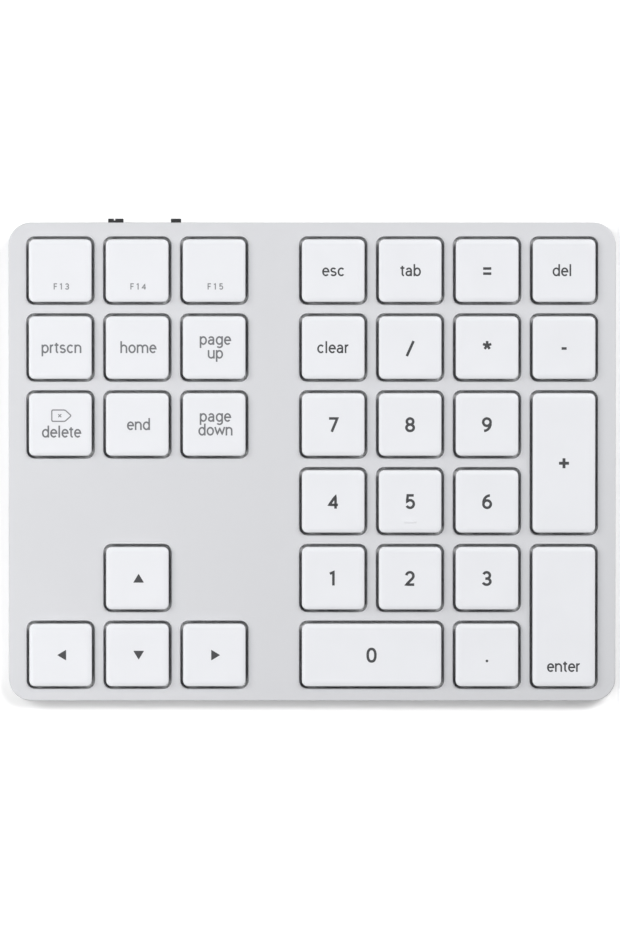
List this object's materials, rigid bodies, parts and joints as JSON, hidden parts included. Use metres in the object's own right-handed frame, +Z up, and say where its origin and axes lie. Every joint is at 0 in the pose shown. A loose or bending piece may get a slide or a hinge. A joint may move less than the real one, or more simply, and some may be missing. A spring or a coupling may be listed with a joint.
{
  "type": "numeric keypad",
  "caption": "Low extended keypad: numeric, arrow and navigation keys on scissor links in a sloping aluminium case, with a slide switch, pairing button and charging port behind.",
  "frame": {"origin": "on the table under the middle of the keypad's outline, the rear controls included", "axes": "+X to the user's right, +Y to the rear edge with the controls, +Z up"},
  "size_m": [0.15, 0.1192, 0.011],
  "materials": {
    "case_aluminium": "bead-blasted and anodised silver",
    "cover_plastic": "fine matt texture",
    "key_white": "satin",
    "black_plastic": "satin",
    "foot_rubber": "matt",
    "plate_steel": "plain sheet",
    "wire_steel": "drawn wire",
    "screw_steel": "nickel plated",
    "port_steel": "tinned",
    "membrane_film": "polyester film",
    "dome_silicone": "milky silicone",
    "link_plastic": "natural acetal",
    "board_laminate": "solder resist",
    "connector_plastic": "moulded",
    "module_shield": "tinned",
    "battery_foil": "laminated foil",
    "lead_insulation": "insulation"
  },
  "bodies": {
    "case": {"top_case": "case_aluminium", "bottom_cover": "cover_plastic", "key_plate": "plate_steel", "membrane_top_layer": "membrane_film", "membrane_spacer_layer": "membrane_film", "membrane_bottom_layer": "membrane_film", "rubber_domes": "dome_silicone", "scissor_outer_frames": "link_plastic", "scissor_inner_frames": "link_plastic", "controller_board": "board_laminate", "micro_usb_port": "port_steel", "slide_switch_body": "black_plastic", "pairing_switch_body": "black_plastic", "membrane_connector": "connector_plastic", "wireless_module": "module_shield", "battery_cell": "battery_foil", "battery_leads": "lead_insulation", "rubber_feet": "foot_rubber", "cover_screws": "screw_steel", "internal_screws": "screw_steel"},
    "key_f13": {"key_f13": "key_white"},
    "key_f14": {"key_f14": "key_white"},
    "key_f15": {"key_f15": "key_white"},
    "key_prtscn": {"key_prtscn": "key_white"},
    "key_home": {"key_home": "key_white"},
    "key_page_up": {"key_page_up": "key_white"},
    "key_delete": {"key_delete": "key_white"},
    "key_end": {"key_end": "key_white"},
    "key_page_down": {"key_page_down": "key_white"},
    "key_up": {"key_up": "key_white"},
    "key_left": {"key_left": "key_white"},
    "key_down": {"key_down": "key_white"},
    "key_right": {"key_right": "key_white"},
    "key_esc": {"key_esc": "key_white"},
    "key_tab": {"key_tab": "key_white"},
    "key_equals": {"key_equals": "key_white"},
    "key_del": {"key_del": "key_white"},
    "key_clear": {"key_clear": "key_white"},
    "key_divide": {"key_divide": "key_white"},
    "key_multiply": {"key_multiply": "key_white"},
    "key_minus": {"key_minus": "key_white"},
    "key_7": {"key_7": "key_white"},
    "key_8": {"key_8": "key_white"},
    "key_9": {"key_9": "key_white"},
    "key_4": {"key_4": "key_white"},
    "key_5": {"key_5": "key_white"},
    "key_6": {"key_6": "key_white"},
    "key_1": {"key_1": "key_white"},
    "key_2": {"key_2": "key_white"},
    "key_3": {"key_3": "key_white"},
    "key_decimal": {"key_decimal": "key_white"},
    "key_plus": {"key_plus": "key_white"},
    "key_enter": {"key_enter": "key_white"},
    "key_0": {"key_0": "key_white"},
    "stabiliser_bar_plus": {"stabiliser_bar_plus": "wire_steel"},
    "stabiliser_bar_enter": {"stabiliser_bar_enter": "wire_steel"},
    "stabiliser_bar_0": {"stabiliser_bar_0": "wire_steel"},
    "power_switch": {"power_switch_knob": "black_plastic"},
    "pairing_button": {"pairing_button": "black_plastic", "pairing_switch_plunger": "connector_plastic"}
  },
  "joints": [
    {"name": "key_f13_press", "type": "slide", "parent": "case", "child": "key_f13", "axis": [0, 0.0349, -0.9994], "range_m": [0, 0.0018], "stiffness_N_per_m": 200, "springref_m": -0.001},
    {"name": "key_f14_press", "type": "slide", "parent": "case", "child": "key_f14", "axis": [0, 0.0349, -0.9994], "range_m": [0, 0.0018], "stiffness_N_per_m": 200, "springref_m": -0.001},
    {"name": "key_f15_press", "type": "slide", "parent": "case", "child": "key_f15", "axis": [0, 0.0349, -0.9994], "range_m": [0, 0.0018], "stiffness_N_per_m": 200, "springref_m": -0.001},
    {"name": "key_prtscn_press", "type": "slide", "parent": "case", "child": "key_prtscn", "axis": [0, 0.0349, -0.9994], "range_m": [0, 0.0018], "stiffness_N_per_m": 200, "springref_m": -0.001},
    {"name": "key_home_press", "type": "slide", "parent": "case", "child": "key_home", "axis": [0, 0.0349, -0.9994], "range_m": [0, 0.0018], "stiffness_N_per_m": 200, "springref_m": -0.001},
    {"name": "key_page_up_press", "type": "slide", "parent": "case", "child": "key_page_up", "axis": [0, 0.0349, -0.9994], "range_m": [0, 0.0018], "stiffness_N_per_m": 200, "springref_m": -0.001},
    {"name": "key_delete_press", "type": "slide", "parent": "case", "child": "key_delete", "axis": [0, 0.0349, -0.9994], "range_m": [0, 0.0018], "stiffness_N_per_m": 200, "springref_m": -0.001},
    {"name": "key_end_press", "type": "slide", "parent": "case", "child": "key_end", "axis": [0, 0.0349, -0.9994], "range_m": [0, 0.0018], "stiffness_N_per_m": 200, "springref_m": -0.001},
    {"name": "key_page_down_press", "type": "slide", "parent": "case", "child": "key_page_down", "axis": [0, 0.0349, -0.9994], "range_m": [0, 0.0018], "stiffness_N_per_m": 200, "springref_m": -0.001},
    {"name": "key_up_press", "type": "slide", "parent": "case", "child": "key_up", "axis": [0, 0.0349, -0.9994], "range_m": [0, 0.0018], "stiffness_N_per_m": 200, "springref_m": -0.001},
    {"name": "key_left_press", "type": "slide", "parent": "case", "child": "key_left", "axis": [0, 0.0349, -0.9994], "range_m": [0, 0.0018], "stiffness_N_per_m": 200, "springref_m": -0.001},
    {"name": "key_down_press", "type": "slide", "parent": "case", "child": "key_down", "axis": [0, 0.0349, -0.9994], "range_m": [0, 0.0018], "stiffness_N_per_m": 200, "springref_m": -0.001},
    {"name": "key_right_press", "type": "slide", "parent": "case", "child": "key_right", "axis": [0, 0.0349, -0.9994], "range_m": [0, 0.0018], "stiffness_N_per_m": 200, "springref_m": -0.001},
    {"name": "key_esc_press", "type": "slide", "parent": "case", "child": "key_esc", "axis": [0, 0.0349, -0.9994], "range_m": [0, 0.0018], "stiffness_N_per_m": 200, "springref_m": -0.001},
    {"name": "key_tab_press", "type": "slide", "parent": "case", "child": "key_tab", "axis": [0, 0.0349, -0.9994], "range_m": [0, 0.0018], "stiffness_N_per_m": 200, "springref_m": -0.001},
    {"name": "key_equals_press", "type": "slide", "parent": "case", "child": "key_equals", "axis": [0, 0.0349, -0.9994], "range_m": [0, 0.0018], "stiffness_N_per_m": 200, "springref_m": -0.001},
    {"name": "key_del_press", "type": "slide", "parent": "case", "child": "key_del", "axis": [0, 0.0349, -0.9994], "range_m": [0, 0.0018], "stiffness_N_per_m": 200, "springref_m": -0.001},
    {"name": "key_clear_press", "type": "slide", "parent": "case", "child": "key_clear", "axis": [0, 0.0349, -0.9994], "range_m": [0, 0.0018], "stiffness_N_per_m": 200, "springref_m": -0.001},
    {"name": "key_divide_press", "type": "slide", "parent": "case", "child": "key_divide", "axis": [0, 0.0349, -0.9994], "range_m": [0, 0.0018], "stiffness_N_per_m": 200, "springref_m": -0.001},
    {"name": "key_multiply_press", "type": "slide", "parent": "case", "child": "key_multiply", "axis": [0, 0.0349, -0.9994], "range_m": [0, 0.0018], "stiffness_N_per_m": 200, "springref_m": -0.001},
    {"name": "key_minus_press", "type": "slide", "parent": "case", "child": "key_minus", "axis": [0, 0.0349, -0.9994], "range_m": [0, 0.0018], "stiffness_N_per_m": 200, "springref_m": -0.001},
    {"name": "key_7_press", "type": "slide", "parent": "case", "child": "key_7", "axis": [0, 0.0349, -0.9994], "range_m": [0, 0.0018], "stiffness_N_per_m": 200, "springref_m": -0.001},
    {"name": "key_8_press", "type": "slide", "parent": "case", "child": "key_8", "axis": [0, 0.0349, -0.9994], "range_m": [0, 0.0018], "stiffness_N_per_m": 200, "springref_m": -0.001},
    {"name": "key_9_press", "type": "slide", "parent": "case", "child": "key_9", "axis": [0, 0.0349, -0.9994], "range_m": [0, 0.0018], "stiffness_N_per_m": 200, "springref_m": -0.001},
    {"name": "key_4_press", "type": "slide", "parent": "case", "child": "key_4", "axis": [0, 0.0349, -0.9994], "range_m": [0, 0.0018], "stiffness_N_per_m": 200, "springref_m": -0.001},
    {"name": "key_5_press", "type": "slide", "parent": "case", "child": "key_5", "axis": [0, 0.0349, -0.9994], "range_m": [0, 0.0018], "stiffness_N_per_m": 200, "springref_m": -0.001, "deforming": ["rubber_domes", "scissor_outer_frames", "scissor_inner_frames"]},
    {"name": "key_6_press", "type": "slide", "parent": "case", "child": "key_6", "axis": [0, 0.0349, -0.9994], "range_m": [0, 0.0018], "stiffness_N_per_m": 200, "springref_m": -0.001},
    {"name": "key_1_press", "type": "slide", "parent": "case", "child": "key_1", "axis": [0, 0.0349, -0.9994], "range_m": [0, 0.0018], "stiffness_N_per_m": 200, "springref_m": -0.001},
    {"name": "key_2_press", "type": "slide", "parent": "case", "child": "key_2", "axis": [0, 0.0349, -0.9994], "range_m": [0, 0.0018], "stiffness_N_per_m": 200, "springref_m": -0.001},
    {"name": "key_3_press", "type": "slide", "parent": "case", "child": "key_3", "axis": [0, 0.0349, -0.9994], "range_m": [0, 0.0018], "stiffness_N_per_m": 200, "springref_m": -0.001},
    {"name": "key_decimal_press", "type": "slide", "parent": "case", "child": "key_decimal", "axis": [0, 0.0349, -0.9994], "range_m": [0, 0.0018], "stiffness_N_per_m": 200, "springref_m": -0.001},
    {"name": "key_plus_press", "type": "slide", "parent": "case", "child": "key_plus", "axis": [0, 0.0349, -0.9994], "range_m": [0, 0.0018], "stiffness_N_per_m": 200, "springref_m": -0.001},
    {"name": "key_enter_press", "type": "slide", "parent": "case", "child": "key_enter", "axis": [0, 0.0349, -0.9994], "range_m": [0, 0.0018], "stiffness_N_per_m": 200, "springref_m": -0.001},
    {"name": "key_0_press", "type": "slide", "parent": "case", "child": "key_0", "axis": [0, 0.0349, -0.9994], "range_m": [0, 0.0018], "stiffness_N_per_m": 200, "springref_m": -0.001},
    {"name": "stabiliser_bar_plus_turn", "type": "hinge", "parent": "key_plus", "child": "stabiliser_bar_plus", "pos_m": [0.056, -0.0007, 0.00761], "axis": [0, -0.9994, -0.0349], "range_deg": [0, 13.3]},
    {"name": "stabiliser_bar_enter_turn", "type": "hinge", "parent": "key_enter", "child": "stabiliser_bar_enter", "pos_m": [0.056, -0.03867, 0.00628], "axis": [0, -0.9994, -0.0349], "range_deg": [0, 13.3]},
    {"name": "stabiliser_bar_0_turn", "type": "hinge", "parent": "key_0", "child": "stabiliser_bar_0", "pos_m": [0.0147, -0.04197, 0.00616], "axis": [-1, 0, 0], "range_deg": [0, 13.3]},
    {"name": "power_switch_slide", "type": "slide", "parent": "case", "child": "power_switch", "axis": [1, 0, 0], "range_m": [0, 0.002]},
    {"name": "pairing_button_press", "type": "slide", "parent": "case", "child": "pairing_button", "axis": [0, -1, 0], "range_m": [0, 0.0004], "stiffness_N_per_m": 2500, "springref_m": -0.0002}
  ],
  "couplings": [
    {"joint": "stabiliser_bar_plus_turn", "follows": "key_plus_press", "rad_per_m": 128.11},
    {"joint": "stabiliser_bar_enter_turn", "follows": "key_enter_press", "rad_per_m": 128.11},
    {"joint": "stabiliser_bar_0_turn", "follows": "key_0_press", "rad_per_m": 128.11}
  ]
}
